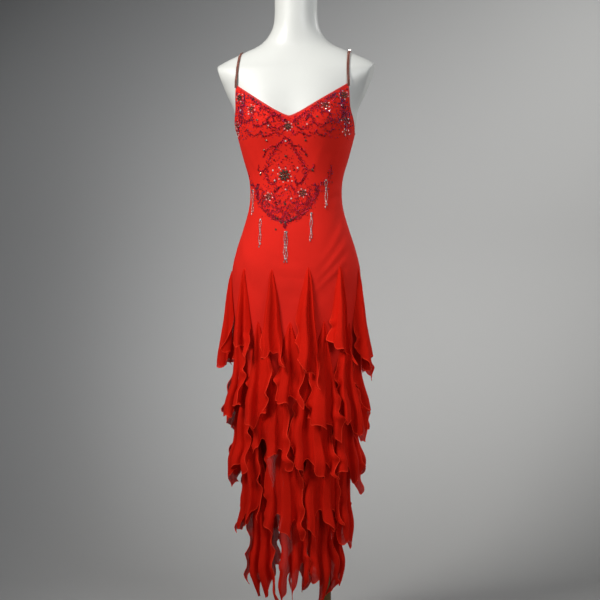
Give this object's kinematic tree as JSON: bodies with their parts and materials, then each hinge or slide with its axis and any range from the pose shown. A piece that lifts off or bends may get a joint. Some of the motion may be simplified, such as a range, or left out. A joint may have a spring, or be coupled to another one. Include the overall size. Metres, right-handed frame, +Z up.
{
  "type": "evening gown on a limbless dress form",
  "caption": "Sleeveless evening gown with a beaded V-neck bodice and tiers of pointed chiffon flounces, worn by a limbless dress form on a one-rod stand.",
  "frame": {"origin": "on the floor, at the middle of the stand base's underside", "axes": "+Z up, the gown faces -Y, +X is the wearer's left side"},
  "size_m": [0.3836, 0.356, 1.588],
  "materials": {
    "form_white": "matt white, lightly rubbed",
    "rod_gold": "aged gold lacquer",
    "base_steel": "grey satin",
    "mesh_red": "matt stretch mesh",
    "chiffon_red": "sheer matt chiffon with a rolled hem",
    "strap_beads": "strung brown seed beads",
    "tassel_beads": "silver-lined bugle beads",
    "gem_bronze": "faceted dark bronze stones"
  },
  "bodies": {
    "root": {"form_torso": "form_white", "stand_rod": "rod_gold", "stand_base": "base_steel", "gown_front": "mesh_red", "gown_back": "mesh_red", "strap_left": "strap_beads", "strap_right": "strap_beads", "godet_1_01": "chiffon_red", "godet_1_02": "chiffon_red", "godet_1_03": "chiffon_red", "godet_1_04": "chiffon_red", "godet_1_05": "chiffon_red", "godet_1_06": "chiffon_red", "godet_1_07": "chiffon_red", "godet_1_08": "chiffon_red", "godet_1_09": "chiffon_red", "godet_1_10": "chiffon_red", "godet_1_11": "chiffon_red", "flounce_2_01": "chiffon_red", "flounce_2_02": "chiffon_red", "flounce_2_03": "chiffon_red", "flounce_2_04": "chiffon_red", "flounce_2_05": "chiffon_red", "flounce_2_06": "chiffon_red", "flounce_2_07": "chiffon_red", "flounce_2_08": "chiffon_red", "flounce_2_09": "chiffon_red", "flounce_2_10": "chiffon_red", "flounce_2_11": "chiffon_red", "flounce_3_01": "chiffon_red", "flounce_3_02": "chiffon_red", "flounce_3_03": "chiffon_red", "flounce_3_04": "chiffon_red", "flounce_3_05": "chiffon_red", "flounce_3_06": "chiffon_red", "flounce_3_07": "chiffon_red", "flounce_3_08": "chiffon_red", "flounce_4_01": "chiffon_red", "flounce_4_02": "chiffon_red", "flounce_4_03": "chiffon_red", "flounce_4_04": "chiffon_red", "flounce_4_05": "chiffon_red", "flounce_4_06": "chiffon_red", "flounce_4_07": "chiffon_red", "flounce_5_01": "chiffon_red", "flounce_5_02": "chiffon_red", "flounce_5_03": "chiffon_red", "flounce_5_04": "chiffon_red", "flounce_5_05": "chiffon_red", "flounce_5_06": "chiffon_red", "tassel_middle": "tassel_beads", "tassel_right_inner": "tassel_beads", "tassel_left_inner": "tassel_beads", "tassel_right_outer": "tassel_beads", "tassel_left_outer": "tassel_beads", "gem_flower_middle": "gem_bronze", "gem_flower_right_strap": "gem_bronze", "gem_flower_left_strap": "gem_bronze", "gem_flower_right_low": "gem_bronze", "gem_flower_left_low": "gem_bronze"}
  },
  "joints": []
}
